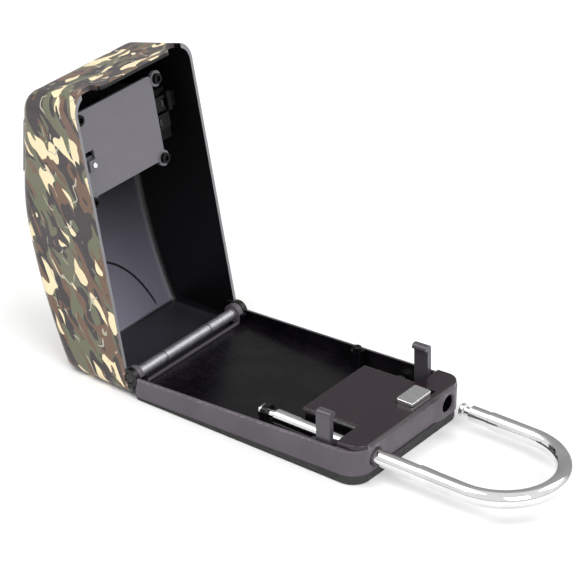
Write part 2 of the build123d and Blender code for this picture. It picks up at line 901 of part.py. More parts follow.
def lock_plate():
    """Grey plate that closes the lock's space in the lid."""
    plan = Pos((plate_low_u + plate_high_u) / 2, (plate_low_y + plate_high_y) / 2) * Rectangle(
        plate_high_u - plate_low_u, plate_high_y - plate_low_y
    )
    plan = fillet(plan.vertices(), plate_corner)
    plate = Pos(0, 0, plate_v) * extrude(plan, amount=plate_thickness)
    for u, y in plate_screws:
        plate += rod_z(plate_ear, plate_v, plate_back, u, y)
    nose_inner = hook_inner - hook_nose
    plate -= span(hook_path, (-beyond, -nose_inner + 0.5), (0, beyond))
    plate -= span(
        (lever_u - lever_length / 2 - lever_gap, lever_u + lever_length / 2 + lever_travel + lever_gap),
        (lever_y - lever_width / 2 - lever_gap, lever_y + lever_width / 2 + lever_gap),
        (0, beyond),
    )
    plate -= plate_hole(plate_screws, screw_diameter / 2 + screw_clearance, 0, beyond)
    rest = latch_v - latch_guide_gap
    plate += span(
        (near_latch_u - latch_width / 2, near_latch_u + latch_width / 2),
        (cheek_high - 12, cheek_high),
        (plate_back - 0.5, rest),
    )
    return plate


def lock_plate_screws():
    screws = []
    for u, y in plate_screws:
        shank = rod_z(screw_diameter / 2, plate_v - 0.5, plate_back + screw_length - 1, u, y)
        head = rod_z(screw_head_diameter / 2, plate_v - screw_head_height, plate_v, u, y)
        recess = screw_head_diameter / 2 - screw_recess_rim
        head -= rod_z(recess, plate_v - beyond, plate_v - screw_recess, u, y)
        screws.append(shank + head)
    return Compound(children=screws)


def dial_housing():
    """Carrier of the wheels, with the guides of both latches and the seat of the button's spring."""
    low_u = axle_u - housing_half_u
    high_u = axle_u + housing_half_u
    far_y = button_y + button_flange / 2
    web_top = housing_base_v + housing_web
    housing = span((low_u, high_u), (cheek_low - cheek_thickness, far_y), (housing_base_v, web_top))
    top_inset = lid_top_wall + housing_gap
    cheek = [
        (low_u, housing_base_v),
        (high_u, housing_base_v),
        (high_u, front_at(high_u, top_inset)),
        (low_u, front_at(low_u, top_inset)),
    ]
    housing += side_solid(cheek, cheek_low - cheek_thickness, cheek_low)
    housing += side_solid(cheek, cheek_high, cheek_high + cheek_thickness)
    shelf_low = cheek_high + 0.5
    housing += span((low_u, high_u), (shelf_low, far_y), (shelf_v, shelf_v + shelf_thickness))
    for side_u in (low_u, high_u - housing_web):
        housing += span((side_u, side_u + housing_web), (shelf_low, far_y), (housing_base_v, shelf_v + 0.5))
    housing -= rod_z(button_stem / 2 + button_gap, shelf_v - 1, shelf_v + 5, front_u, button_y)
    opening_y = wedge_reach / 2 + latch_overrun
    housing -= span(
        (near_latch_u - wedge_width / 2 - 1, far_latch_u + wedge_width / 2 + 1),
        (button_y - opening_y, button_y + opening_y),
        (housing_base_v - 1, web_top + 1),
    )
    post_low = latch_v + latch_guide_gap
    housing += span(
        (near_latch_u - spring_post / 2, near_latch_u + spring_post / 2),
        (near_post_y, near_post_y + spring_post),
        (post_low, housing_base_v + 0.5),
    )
    housing += span(
        (far_latch_u - latch_spring_radius, far_latch_u + latch_spring_radius),
        (cheek_high, cheek_high + cheek_thickness),
        (post_low, housing_base_v + 0.5),
    )
    bridge_low = far_latch_u - latch_width / 2 - latch_guide_gap
    bridge_high = far_latch_u + latch_width / 2 + latch_guide_gap
    bridge_y = (far_y - 2.5, far_y)
    bridge_top = latch_v - latch_guide_gap
    bridge_bottom = bridge_top - bridge_wall
    bridge_u = (bridge_low - bridge_wall, bridge_high + bridge_wall)
    housing += span(bridge_u, bridge_y, (bridge_bottom, bridge_top))
    for start in (bridge_low - bridge_wall, bridge_high):
        housing += span((start, start + bridge_wall), bridge_y, (bridge_bottom, housing_base_v + 0.5))
    return housing - rod_y(axle_diameter / 2, -beyond, beyond, axle_u, axle_v)


def dial_axle():
    reach = cheek_thickness - 0.3
    return rod_y(axle_diameter / 2, cheek_low - reach, cheek_high + reach, axle_u, axle_v)


def dial_wheel(y):
    wheel = rod_y(wheel_radius, y - wheel_width / 2, y + wheel_width / 2, axle_u, axle_v)
    wheel = chamfer(wheel.edges().filter_by(GeomType.CIRCLE), wheel_edge)
    for index in range(wheel_flutes):
        turn = math.radians(360 / wheel_flutes * (index + 0.5) + 90 - nose_angle)
        away = wheel_radius + flute_radius - flute_depth
        flute_u = axle_u + away * math.cos(turn)
        flute_v = axle_v + away * math.sin(turn)
        wheel -= rod_y(flute_radius, -beyond, beyond, flute_u, flute_v)
    return wheel - rod_y(sleeve_radius + sleeve_fit, -beyond, beyond, axle_u, axle_v)


def dial_sleeve(y):
    start = y - wheel_width / 2
    sleeve = rod_y(sleeve_radius, start, start + sleeve_width, axle_u, axle_v)
    sleeve -= rod_y(axle_diameter / 2 + axle_clearance, -beyond, beyond, axle_u, axle_v)
    gate_bottom = axle_v - sleeve_radius + gate_depth
    return sleeve - span(
        (axle_u - gate_width / 2, axle_u + gate_width / 2),
        (y + wheel_width / 2, beyond),
        (0, gate_bottom),
    )


def dial_detent_spring():
    """Comb with one finger under each wheel."""
    web_top = housing_base_v + housing_web
    top = axle_v - wheel_radius - detent_gap
    strip = span(
        (axle_u + finger_lean, axle_u + 3 * finger_lean),
        (wheel_places[0] - finger_lean, wheel_places[-1] + finger_lean),
        (web_top, web_top + detent_thickness),
    )
    rise = detent_thickness * 1.4
    lean = [
        (axle_u + finger_lean + 2 * detent_thickness, web_top + detent_thickness / 5),
        (axle_u + finger_lean + 2 * detent_thickness + rise, web_top + detent_thickness / 5),
        (axle_u + finger_lean * rise, top),
        (axle_u - finger_half, top),
        (axle_u - finger_half, top - detent_thickness),
        (axle_u + finger_lean / 2, top - detent_thickness),
    ]
    for y in wheel_places:
        strip += side_solid(lean, y - finger_half, y + finger_half)
    return strip


def dial_bezel():
    plan = Pos((bezel_down - bezel_up) / 2, 0) * Rectangle(bezel_up + bezel_down, 2 * bezel_half_y)
    plan = fillet(plan.vertices(), bezel_corner)
    plate = extrude(plan, amount=bezel_thickness)
    slot_half = math.sqrt(wheel_radius**2 - wheel_sink**2) + wheel_slot_gap
    for y in wheel_places:
        half = wheel_width / 2 + wheel_slot_gap
        plate -= span((-slot_half, slot_half), (y - half, y + half), (-beyond, beyond))
    trough = flap_knuckle_y - flap_knuckle_length
    plate -= rod_y(flap_knuckle_radius + flap_gap, -trough, trough, -flap_pin_back, flap_pin_height)
    for side in (-1, 1):
        low, high = sorted((side * flap_knuckle_y, side * (flap_knuckle_y - flap_knuckle_length)))
        arm = span(
            (-flap_pin_back - flap_knuckle_radius, -flap_pin_back + flap_knuckle_radius),
            (low, high),
            (0.2, flap_pin_height),
        )
        arm += rod_y(flap_knuckle_radius, low, high, -flap_pin_back, flap_pin_height)
        plate += arm - rod_y(flap_pin_diameter / 2, low - 1, high + 1, -flap_pin_back, flap_pin_height)
    plate = front_place * plate
    return plate - rod_z(button_diameter / 2 + button_gap, shelf_v, beyond, front_u, button_y)


def weather_cover():
    """Flap over the wheels and the button, hung at its upper end."""
    low_x = -flap_pin_back
    high_x = bezel_down + flap_gap + flap_wall
    half = bezel_half_y + flap_gap + flap_wall
    outer = span((low_x, high_x), (-half, half), (flap_gap, flap_height))
    outer = fillet(outer.edges().filter_by(Axis.Z).group_by(Axis.X)[-1], bezel_corner)
    inside = span(
        (low_x - 5, high_x - flap_wall),
        (-half + flap_wall, half - flap_wall),
        (0, flap_height - flap_wall),
    )
    flap = outer - inside
    upper = [edge for edge in flap.edges() if edge.center().Z > flap_height - 0.1]
    top = [edge for edge in upper if edge.center().X > low_x + 1]
    flap = fillet(top, flap_edge)
    sweep_room = flap_knuckle_radius + flap_gap
    reach = flap_knuckle_y - flap_knuckle_length - flap_gap
    flap -= rod_y(sweep_room, -beyond, beyond, -flap_pin_back, flap_pin_height)
    flap += rod_y(flap_knuckle_radius, -reach, reach, -flap_pin_back, flap_pin_height)
    flap += span(
        (-flap_pin_back, -flap_pin_back + sweep_room + 1),
        (-reach, reach),
        (flap_height - flap_wall, flap_height),
    )
    flap -= rod_y(flap_pin_diameter / 2 + axle_clearance, -beyond, beyond, -flap_pin_back, flap_pin_height)
    return front_place * flap


def cover_pin():
    pin = rod_y(flap_pin_diameter / 2, -flap_knuckle_y, flap_knuckle_y, -flap_pin_back, flap_pin_height)
    return front_place * pin


# Wedges under the button push the latches back as it goes in.
wedge_slope = latch_travel / button_travel
wedge_low = latch_v - wedge_drop
wedge_growth = wedge_slope * (foot_plate_v - wedge_low)
wedge_reach = 2 * wedge_growth + 2 * wedge_tip - wedge_spread


def wedge_outline(side):
    """Outline in Y and V of the wedge that drives the latch on one side."""
    back = button_y + side * wedge_spread / 2
    tip = back - side * wedge_tip
    root = tip - side * wedge_growth
    return [(back, wedge_low), (tip, wedge_low), (root, foot_plate_v), (back, foot_plate_v)]


def across(points, low_u, high_u):
    """Outline in Y and V, thickened along U."""
    face = make_face(Polyline(*points, close=True))
    return Pos(low_u, 0, 0) * extrude(Plane.YZ * face, amount=high_u - low_u)


def open_button():
    level = bezel_thickness + button_proud
    cap_top = front_place * span((-beyond, beyond), (-beyond, beyond), (-beyond, level))
    cap = rod_z(button_diameter / 2, button_flange_v - 1, beyond, front_u, button_y) & cap_top
    cap = fillet(cap.faces().sort_by(Axis.Z)[-1].edges(), button_edge)
    flange_low = button_flange_v - button_flange_thickness
    button = cap + rod_z(button_flange / 2, flange_low, button_flange_v, front_u, button_y)
    button += rod_z(button_stem / 2, foot_plate_v, flange_low + 0.5, front_u, button_y)
    foot_half = wedge_reach / 2
    button += span(
        (near_latch_u - wedge_width / 2, far_latch_u + wedge_width / 2),
        (button_y - foot_half, button_y + foot_half),
        (foot_plate_v, foot_plate_v + foot_plate_thickness),
    )
    for side, u in ((-1, near_latch_u), (1, far_latch_u)):
        button += across(wedge_outline(side), u - wedge_width / 2, u + wedge_width / 2)
    return button


def button_spring():
    start = shelf_v + shelf_thickness + spring_seat
    length = button_flange_v - button_flange_thickness - start - spring_seat
    spring = coil(button_spring_radius, spring_wire, button_spring_turns, length)
    return Pos(front_u, button_y, start) * spring


def latch_window(side, u):
    """Cut in a latch for its wedge, with a sloping edge that the wedge pushes."""
    back = button_y + side * wedge_spread / 2
    tip = back - side * (wedge_tip + wedge_gap)
    open_edge = back + side * (latch_travel + latch_overrun)
    low_v = latch_v - 1
    high_v = latch_top + 1
    points = [
        (open_edge, low_v),
        (tip - side * wedge_slope * (low_v - wedge_low), low_v),
        (tip - side * wedge_slope * (high_v - wedge_low), high_v),
        (open_edge, high_v),
    ]
    half = latch_width / 2 - latch_rail
    return across(points, u - half, u + half)


def latch_near():
    """Flat bar from the button to the near hook."""
    half = latch_width / 2
    tip_low = hook_start + latch_tip_shift
    tip_high = tip_low + latch_width
    inner_y = button_y + wedge_spread / 2 + latch_end_wall
    elbow_low = cheek_low - latch_elbow
    bar = span((near_latch_u - half, near_latch_u + half), (elbow_low, inner_y), (latch_v, latch_top))
    bar += span((near_latch_u - half, tip_high), (elbow_low, elbow_low + latch_elbow), (latch_v, latch_top))
    bar += span((tip_low, tip_high), (-tip_y, elbow_low + 1), (latch_v, latch_top))
    nose = [edge for edge in bar.edges().filter_by(Axis.X) if edge.center().Y < -tip_y + 0.1]
    bar = chamfer([edge for edge in nose if edge.center().Z < latch_v + 0.1], latch_nose)
    rail = half - latch_rail
    bar -= span((near_latch_u - rail, near_latch_u + rail), near_window, (0, beyond))
    return bar - latch_window(-1, near_latch_u)


def latch_far():
    half = latch_width / 2
    bar = span((far_latch_u - half, far_latch_u + half), (far_inner_y, tip_y), (latch_v, latch_top))
    nose = [edge for edge in bar.edges().filter_by(Axis.X) if edge.center().Y > tip_y - 0.1]
    bar = chamfer([edge for edge in nose if edge.center().Z < latch_v + 0.1], latch_nose)
    return bar - latch_window(1, far_latch_u)


def latch_spring(u, start, end, turns):
    length = end - start - 2 * spring_seat
    spring = coil(latch_spring_radius, latch_spring_wire, turns, length)
    height = (latch_v + latch_top) / 2
    return Pos(u, start + spring_seat, height) * Rot(-90, 0, 0) * spring


def code_lever():
    """Tab that frees the wheels for a new number."""
    u = (lever_u - lever_length / 2, lever_u + lever_length / 2)
    y = (lever_y - lever_width / 2, lever_y + lever_width / 2)
    flange_low = plate_back + 0.1
    body = span(u, y, (plate_v - lever_proud, flange_low + lever_flange_thickness))
    body = fillet(body.faces().sort_by(Axis.Z)[0].edges(), lever_edge)
    body += span(
        (u[0] - lever_flange, u[1] + lever_flange),
        (y[0] - lever_flange, y[1] + lever_flange),
        (flange_low, flange_low + lever_flange_thickness),
    )
    return body - rod_z(lever_pin_diameter / 2, 0, plate_back, lever_u, lever_y)


def code_lever_pin():
    start = plate_v - lever_proud - lever_pin_proud
    pin = rod_z(lever_pin_diameter / 2, start, plate_back, lever_u, lever_y)
    return fillet(pin.edges().filter_by(GeomType.CIRCLE).sort_by(Axis.Z)[0], lever_edge)


add("back_pad", back_pad())
add("base_tray", base_tray())
add("lock_cover", lock_cover())
add("cover_screws", cover_screws())
add("near_hook", hook(-1))
add("far_hook", hook(1))
add("hook_screws", hook_screws())
add("hinge_pin", hinge_pin())
add("locating_peg", locating_peg())
add("release_slide", release_slide())
add("release_leaf", release_leaf())
add("shackle", shackle())
add("shackle_stop", shackle_stop())
add("shackle_clip", shackle_clip())

near_spring = latch_spring(near_latch_u, near_window[0], near_post_y, near_spring_turns)
far_spring = latch_spring(far_latch_u, cheek_high + cheek_thickness, far_inner_y, far_spring_turns)
in_lid = {
    "lid_shell": lid_shell(),
    "lock_plate": lock_plate(),
    "lock_plate_screws": lock_plate_screws(),
    "dial_housing": dial_housing(),
    "dial_axle": dial_axle(),
    "dial_detent_spring": dial_detent_spring(),
    "dial_bezel": dial_bezel(),
    "weather_cover": weather_cover(),
    "cover_pin": cover_pin(),
    "open_button": open_button(),
    "button_spring": button_spring(),
    "near_latch": latch_near(),
    "far_latch": latch_far(),
    "near_latch_spring": near_spring,
    "far_latch_spring": far_spring,
    "code_lever": code_lever(),
    "code_lever_pin": code_lever_pin(),
}
for index, y in enumerate(wheel_places):
    in_lid[f"dial_wheel_{index + 1}"] = dial_wheel(y)
    in_lid[f"dial_sleeve_{index + 1}"] = dial_sleeve(y)
for name, shape in in_lid.items():
    add(name, open_place * shape)

os.makedirs("parts", exist_ok=True)
for name, shape in nodes.items():
    export_step(shape, f"parts/{name}.step")
    print(name, round(shape.volume), [round(value, 1) for value in shape.bounding_box().size])
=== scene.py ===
import json
import math
import bmesh
import bpy
import numpy as np
from mathutils import Matrix, Vector


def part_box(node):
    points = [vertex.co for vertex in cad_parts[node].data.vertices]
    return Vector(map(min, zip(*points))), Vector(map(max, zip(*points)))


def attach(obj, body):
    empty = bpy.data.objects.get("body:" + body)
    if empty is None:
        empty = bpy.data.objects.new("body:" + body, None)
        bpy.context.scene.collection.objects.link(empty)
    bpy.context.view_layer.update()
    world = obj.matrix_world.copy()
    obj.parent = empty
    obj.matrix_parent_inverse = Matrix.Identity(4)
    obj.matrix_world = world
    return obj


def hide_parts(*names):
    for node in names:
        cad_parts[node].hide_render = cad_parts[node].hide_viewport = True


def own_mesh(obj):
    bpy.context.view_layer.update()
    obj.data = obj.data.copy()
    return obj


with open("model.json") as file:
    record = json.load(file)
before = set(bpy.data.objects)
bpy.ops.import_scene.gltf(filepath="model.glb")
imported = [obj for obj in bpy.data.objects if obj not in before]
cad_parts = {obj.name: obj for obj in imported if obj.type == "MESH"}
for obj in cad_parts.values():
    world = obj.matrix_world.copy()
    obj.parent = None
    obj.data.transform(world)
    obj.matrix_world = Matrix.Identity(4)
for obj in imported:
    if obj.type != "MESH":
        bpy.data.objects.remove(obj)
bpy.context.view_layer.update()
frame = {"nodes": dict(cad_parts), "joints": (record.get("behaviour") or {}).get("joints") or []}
nodes = frame["nodes"]
print("stage: packed frame loaded,", len(nodes), "nodes")


def lidDirections():
    # where the hinge is, the way along the lid and the way out through its front, from the frame's joints
    joints = {joint["name"]: joint for joint in frame["joints"]}
    hinge = np.array(joints["lid_hinge"]["pos_m"])
    along = np.array(joints["code_lever_slide"]["axis"])
    outward = -np.array(joints["button_press"]["axis"])
    return hinge, along, outward


lidHinge, lidAlong, lidOut = lidDirections()
lidAcross = np.array([0.0, 1.0, 0.0])


def lidPoints(along, across, out):
    # place of lid coordinates: hinge + lidAlong * u + lidOut * v + lidAcross * y
    along, across, out = np.broadcast_arrays(along, across, out)
    points = lidHinge + along[..., None] * lidAlong + out[..., None] * lidOut
    return points + across[..., None] * lidAcross


def newPiece(name, points, faces, material, smooth=False):
    mesh = bpy.data.meshes.new(name)
    mesh.from_pydata(points, [], faces)
    if smooth:
        mesh.shade_smooth()
    mesh.validate()
    mesh.materials.append(material)
    piece = bpy.data.objects.new(name, mesh)
    bpy.context.scene.collection.objects.link(piece)
    return piece


# Colours

def grey(level):
    return (level, level, level, 1.0)


def colour(red, green, blue):
    # the linear colour of a screen colour in parts of 255
    screen = np.array([red, green, blue]) / 255.0
    linear = np.where(screen <= 0.04045, screen / 12.92, ((screen + 0.055) / 1.055) ** 2.4)
    return (*[float(part) for part in linear], 1.0)


def scaled(tone, share):
    return tuple(min(1.0, part * share) for part in tone[:3]) + (1.0,)


# Shader sums

class Value:
    # one shader socket; Python's own operators add the Math nodes
    def __init__(self, tree, socket):
        self.tree = tree
        self.socket = socket

    def maths(self, operation, *values):
        return self.tree.node("ShaderNodeMath", {"operation": operation}, dict(enumerate(values)))

    def __add__(self, other):
        return self.maths("ADD", self, other)

    def __sub__(self, other):
        return self.maths("SUBTRACT", self, other)

    def __rsub__(self, other):
        return self.maths("SUBTRACT", other, self)

    def __mul__(self, other):
        return self.maths("MULTIPLY", self, other)

    def __pow__(self, other):
        return self.maths("POWER", self, other)

    def __gt__(self, other):
        return self.maths("GREATER_THAN", self, other)

    def __lt__(self, other):
        return self.maths("LESS_THAN", self, other)

    def __abs__(self):
        return self.maths("ABSOLUTE", self)

    __radd__ = __add__
    __rmul__ = __mul__

    def both(self, other):
        return self.maths("MINIMUM", self, other)

    def either(self, other):
        return self.maths("MAXIMUM", self, other)

    def ramp(self, low, high, start=0.0, end=1.0):
        # smooth step from start to end while the value goes from low to high
        settings = {"interpolation_type": "SMOOTHSTEP"}
        inputs = {0: self, 1: low, 2: high, 3: start, 4: end}
        return self.tree.node("ShaderNodeMapRange", settings, inputs)


class NodeTree:
    # the nodes of a material or of the world
    def __init__(self, tree):
        self.links = tree.links
        self.nodes = tree.nodes

    def fill(self, socket, value):
        if isinstance(value, Value):
            self.links.new(value.socket, socket)
        else:
            socket.default_value = value

    def node(self, kind, settings=None, inputs=None, output=0):
        new = self.nodes.new(kind)
        for name, value in (settings or {}).items():
            if name == "stops":
                self.setStops(new, value)
            else:
                setattr(new, name, value)
        for name, value in (inputs or {}).items():
            self.fill(new.inputs[name], value)
        return Value(self, new.outputs[output])

    def setStops(self, ramp, stops):
        elements = ramp.color_ramp.elements
        while len(elements) < len(stops):
            elements.new(1.0)
        for element, (place, level) in zip(elements, stops):
            element.position = place
            element.color = grey(level)

    def vectorMaths(self, operation, first, second, output=0):
        return self.node("ShaderNodeVectorMath", {"operation": operation}, {0: first, 1: second}, output)

    def dot(self, first, second):
        return self.vectorMaths("DOT_PRODUCT", first, second, "Value")

    def blend(self, share, first, second, mode="MIX"):
        settings = {"data_type": "RGBA", "blend_type": mode}
        return self.node("ShaderNodeMix", settings, {0: share, 6: first, 7: second}, 2)


class Finish(NodeTree):
    # a material on the Object coordinates of its piece; fixed holds what is the same all over
    def __init__(self, name, **fixed):
        self.material = bpy.data.materials.new(name)
        self.material.use_nodes = True
        super().__init__(self.material.node_tree)
        self.nodes.clear()
        self.surface = self.nodes.new("ShaderNodeBsdfPrincipled")
        self.output = self.nodes.new("ShaderNodeOutputMaterial")
        self.links.new(self.surface.outputs[0], self.output.inputs[0])
        for socket, value in fixed.items():
            self.set(socket.replace("_", " "), value)
        place = self.nodes.new("ShaderNodeTexCoord")
        self.position = Value(self, place.outputs["Object"])
        self.normal = Value(self, place.outputs["Normal"])

    def set(self, name, value):
        self.fill(self.surface.inputs[name], value)

    def bump(self, height, distance, strength):
        inputs = {"Strength": strength, "Distance": distance, "Height": height}
        self.set("Normal", self.node("ShaderNodeBump", None, inputs))

    def along(self, direction, origin=(0.0, 0.0, 0.0)):
        # distance along a fixed direction from a fixed origin
        return self.dot(self.position, tuple(direction)) - float(np.dot(direction, origin))

    def facing(self, direction):
        return self.dot(self.normal, tuple(direction))

    def stretched(self, factors):
        return self.vectorMaths("MULTIPLY", self.position, factors)

    def noise(self, scale, detail=2.0, roughness=0.5, at=None, distortion=0.0, output="Fac"):
        inputs = {
            "Vector": at or self.position,
            "Scale": scale,
            "Detail": detail,
            "Roughness": roughness,
            "Distortion": distortion,
        }
        return self.node("ShaderNodeTexNoise", None, inputs, output)


# Lid: woodland camouflage film outside, satin black paint inside with a painted sheen

lidFinish = {
    "charcoal": colour(62, 57, 59),
    "patches": [  # colour, offset of its noise, limits of its broad and narrow fields, scale
        (colour(104, 106, 86), (0.31, 0.0, 0.1), 0.465, 0.46, 1.0),
        (colour(110, 86, 72), (0.0, 0.47, 0.2), 0.49, 0.505, 1.0),
        (colour(240, 222, 182), (0.7, 0.2, 0.0), 0.59, 0.53, 0.8),
    ],
    "patchScale": 126.0,
    "patchEdge": 0.004,  # softness of a patch's outline
    "patchStep": (0.5, 0.6, 0.16),  # steps through the noise along, across and out: smaller is longer
    "narrow": (0.6, 0.8, 1.5),  # how the narrow field is squeezed
    "lean": 0.34,  # how far the patches lean across the side walls
    "swirlScale": 58.0,
    "swirl": 0.0125,
    "sliver": colour(186, 182, 164),
    "sliverLineAt": (0.9, 0.1, 0.4),
    "sliverLengthAt": (0.2, 0.6, 0.8),
    "sliverLengthScale": 170.0,
    "sliverWidth": 0.022,
    "faded": colour(132, 122, 116),
    "filmRough": (0.27, 0.37),
    "paint": colour(6, 5, 7),
    "paintRough": (0.34, 0.44),
    # painted sheen: a lighter blue-grey painted on the inner front wall and, fainter, on the heel wall,
    # in place of light reflected there
    "paintedSheen": colour(113, 111, 124),
    "paintedSheenAlong": (0.0, 0.085, 1.0, 0.06),  # where it fades from and to, and its share at each
    "paintedSheenAcross": (-0.01, 0.045, 1.0, 0.8),
    "paintedSheenOfHeel": 0.16,
    "rim": colour(120, 120, 124),
    "rimFrom": 0.0002,  # the rim's flat edge over the hinge
    "rimTo": 0.0022,
    "filmFrom": 0.00143,  # the film ends this far over the hinge, but covers the lip
    "lipFace": 0.1449,  # the lip's outer face begins here
    "middle": (0.068, 0.02),  # a point inside the lid, along and out
    "innerStart": 0.002,
    "innerEnd": 0.1385,
    "innerSide": 0.0412,
    "innerDepth": 0.0345,
    "frontWall": 0.03,  # the inside is front wall from this far out
    "heelEnd": 0.02,
}


def camouflageFilm(made, u, y, v):
    # patches run along the side walls and across the end wall, and lean a little
    along, across, out = lidFinish["patchStep"]
    inputs = {0: u * along + v * out, 1: y * across, 2: v - lidFinish["lean"] * u}
    place = made.node("ShaderNodeCombineXYZ", None, inputs)
    swirl = made.noise(lidFinish["swirlScale"], 2.0, 0.5, place, output="Color")
    inputs = {0: swirl, "Scale": lidFinish["swirl"]}
    shift = made.node("ShaderNodeVectorMath", {"operation": "SCALE"}, inputs)
    warped = made.vectorMaths("ADD", place, shift)
    narrow = made.vectorMaths("MULTIPLY", warped, lidFinish["narrow"])

    def field(at, offset, scale, distortion):
        return made.noise(scale, 0.0, 0.4, made.vectorMaths("ADD", at, offset), distortion)

    film = lidFinish["charcoal"]
    for tone, offset, broadLimit, fingerLimit, size in lidFinish["patches"]:
        # where a broad and a narrow field are both high: their crossing outlines end in points
        scale = lidFinish["patchScale"] * size
        broad = field(warped, offset, scale, 0.3) - broadLimit
        finger = field(narrow, offset, scale * 1.25, 0.5) - fingerLimit
        patch = broad.both(finger).ramp(-lidFinish["patchEdge"], lidFinish["patchEdge"])
        film = made.blend(patch, film, tone)
    # thin light slivers that taper along the outlines of another field
    bend = abs(field(warped, lidFinish["sliverLineAt"], lidFinish["patchScale"], 0.0) - 0.5)
    lengthAt = made.vectorMaths("ADD", warped, lidFinish["sliverLengthAt"])
    length = made.noise(lidFinish["sliverLengthScale"], 1.0, 0.5, lengthAt).ramp(0.5, 0.62)
    sliver = (length * lidFinish["sliverWidth"] - bend).ramp(0.0, 0.006)
    film = made.blend(sliver * 0.8, film, lidFinish["sliver"])
    return made.blend(made.noise(30.0).ramp(0.3, 0.7, 0.0, 0.14), film, lidFinish["faded"])


def filmArea(made, u, y, v):
    # faces that point away from the lid's middle, apart from the inside and the rim
    middle = lidPoints(lidFinish["middle"][0], 0.0, lidFinish["middle"][1])
    spoke = made.vectorMaths("SUBTRACT", made.position, tuple(middle))
    outwards = made.dot(made.normal, spoke) > 0.0
    inner = (u > lidFinish["innerStart"]).both(u < lidFinish["innerEnd"])
    inner = inner.both(abs(y) < lidFinish["innerSide"]).both(v < lidFinish["innerDepth"])
    aboveRim = (v > lidFinish["filmFrom"]).either(u > lidFinish["lipFace"])
    return outwards.both(1.0 - inner).both(aboveRim)


def innerPaint(made, u, y, v):
    # black, with a painted sheen on the front wall that fades towards the lock and the far side, a
    # fainter painted sheen on the heel wall, and a lighter grey rim face
    backwards = made.facing(-lidOut)
    frontWall = backwards.ramp(0.75, 0.95) * (v > lidFinish["frontWall"])
    # painted sheen on the inner front wall, fading towards the lock and the far side
    paintedSheen = frontWall * u.ramp(*lidFinish["paintedSheenAlong"]) * y.ramp(*lidFinish["paintedSheenAcross"])
    # a fainter painted sheen on the heel wall
    heel = made.facing(lidAlong).ramp(0.6, 0.9) * (u < lidFinish["heelEnd"]) * (v > 0.0)
    paintedSheen = paintedSheen.either(lidFinish["paintedSheenOfHeel"] * heel)
    paint = made.blend(paintedSheen, lidFinish["paint"], lidFinish["paintedSheen"])
    rimFace = backwards.ramp(0.5, 0.7).both((v < lidFinish["rimTo"]).both(v > lidFinish["rimFrom"]))
    return made.blend(rimFace, paint, lidFinish["rim"])


def makeLidFinish():
    made = Finish("camouflageLid", Specular_IOR_Level=0.35)
    u = made.along(lidAlong, lidHinge)
    v = made.along(lidOut, lidHinge)
    y = made.along(lidAcross)
    isFilm = filmArea(made, u, y, v)
    paint = innerPaint(made, u, y, v)
    film = camouflageFilm(made, u, y, v)
    made.set("Base Color", made.blend(isFilm, paint, film))
    gloss = made.noise(240.0).ramp(0.3, 0.7, *lidFinish["filmRough"])
    satin = made.noise(700.0, 3.0, 0.6).ramp(0.35, 0.7, *lidFinish["paintRough"])
    made.set("Roughness", isFilm * gloss + (1.0 - isFilm) * satin)
    made.bump(made.noise(1500.0), 0.00003, 1.0)
    return made.material


# Tray: one dark satin paint, its outside painted lighter as lit and its inside painted near black as
# shade

trayFinish = {
    # one paint: the outside colour is painted lighter as if lit, the inside colour painted near black as
    # shade
    "outside": colour(90, 85, 91),
    "outsideDark": colour(78, 73, 79),
    "inside": colour(7, 5, 8),
    "insideWorn": colour(17, 14, 17),
    # painted highlight along the rim's outer edge
    "edge": colour(126, 122, 127),
    "rough": 0.40,
    "smootherInside": 0.12,
    "endFace": 0.0671,
    "sideFace": 0.0446,
    "innerSide": 0.0434,
    "innerStart": -0.0652,
    "innerEnd": 0.053,
    "floorTop": 0.0064,
    "legSide": 0.0305,
    "legHeight": 0.012,
    "boreRadius": 0.0046,
    "boreEnd": 0.0664,
    "rimStart": 0.0675,  # the sloping rim begins this far before the middle
    "rimLow": 0.0118,
    "rimSlope": 0.05185,
}


def makeTrayFinish():
    made = Finish("satinTray", Specular_IOR_Level=0.2)
    x = made.along((1.0, 0.0, 0.0))
    y = made.along((0.0, 1.0, 0.0))
    z = made.along((0.0, 0.0, 1.0))
    hollow = (abs(y) < trayFinish["innerSide"]).both(z > trayFinish["floorTop"])
    hollow = hollow.both(x > trayFinish["innerStart"]).both(x < trayFinish["innerEnd"])
    leg = ((abs(y) - trayFinish["legSide"]) ** 2.0 + (z - trayFinish["legHeight"]) ** 2.0) ** 0.5
    bore = (leg < trayFinish["boreRadius"]).both(x > trayFinish["innerEnd"])
    inside = hollow.either(bore.both(x < trayFinish["boreEnd"]))
    cloud = made.noise(70.0, 3.0, 0.55)
    outer = made.blend(cloud.ramp(0.3, 0.7, 0.0, 0.6), trayFinish["outside"], trayFinish["outsideDark"])
    # painted highlight: a light line along the rim's outer edge, broken into dashes by noise
    rimHeight = (x + trayFinish["rimStart"]) * trayFinish["rimSlope"] + trayFinish["rimLow"]
    rimEdge = (z - rimHeight).ramp(-0.0011, -0.0004)
    outerFace = (abs(y) > trayFinish["sideFace"]).either(x > trayFinish["endFace"])
    rimHighlight = made.noise(420.0, 3.0, 0.6).ramp(0.45, 0.6) * rimEdge * outerFace
    outer = made.blend(rimHighlight * 0.6, outer, trayFinish["edge"])
    inner = made.blend(cloud.ramp(0.35, 0.7), trayFinish["inside"], trayFinish["insideWorn"])
    # painted shade, near black, in the hollow and the bores; painted light, a lighter grey, outside
    made.set("Base Color", made.blend(inside, outer, inner))
    speckle = made.noise(300.0, 2.0, 0.6).ramp(0.3, 0.7, -0.05, 0.05)
    made.set("Roughness", trayFinish["rough"] - trayFinish["smootherInside"] * inside + speckle)
    made.bump(made.noise(1700.0, 2.0, 0.6), 0.00004, 0.6)
    return made.material


# Hinge pin: drawn steel, with its ends under the paint

hingeFinish = {
    "steel": colour(160, 158, 164),
    "steelLight": colour(182, 181, 186),
    "paint": colour(26, 26, 28),
    "bareTo": 0.0438,  # from the middle to each side
}


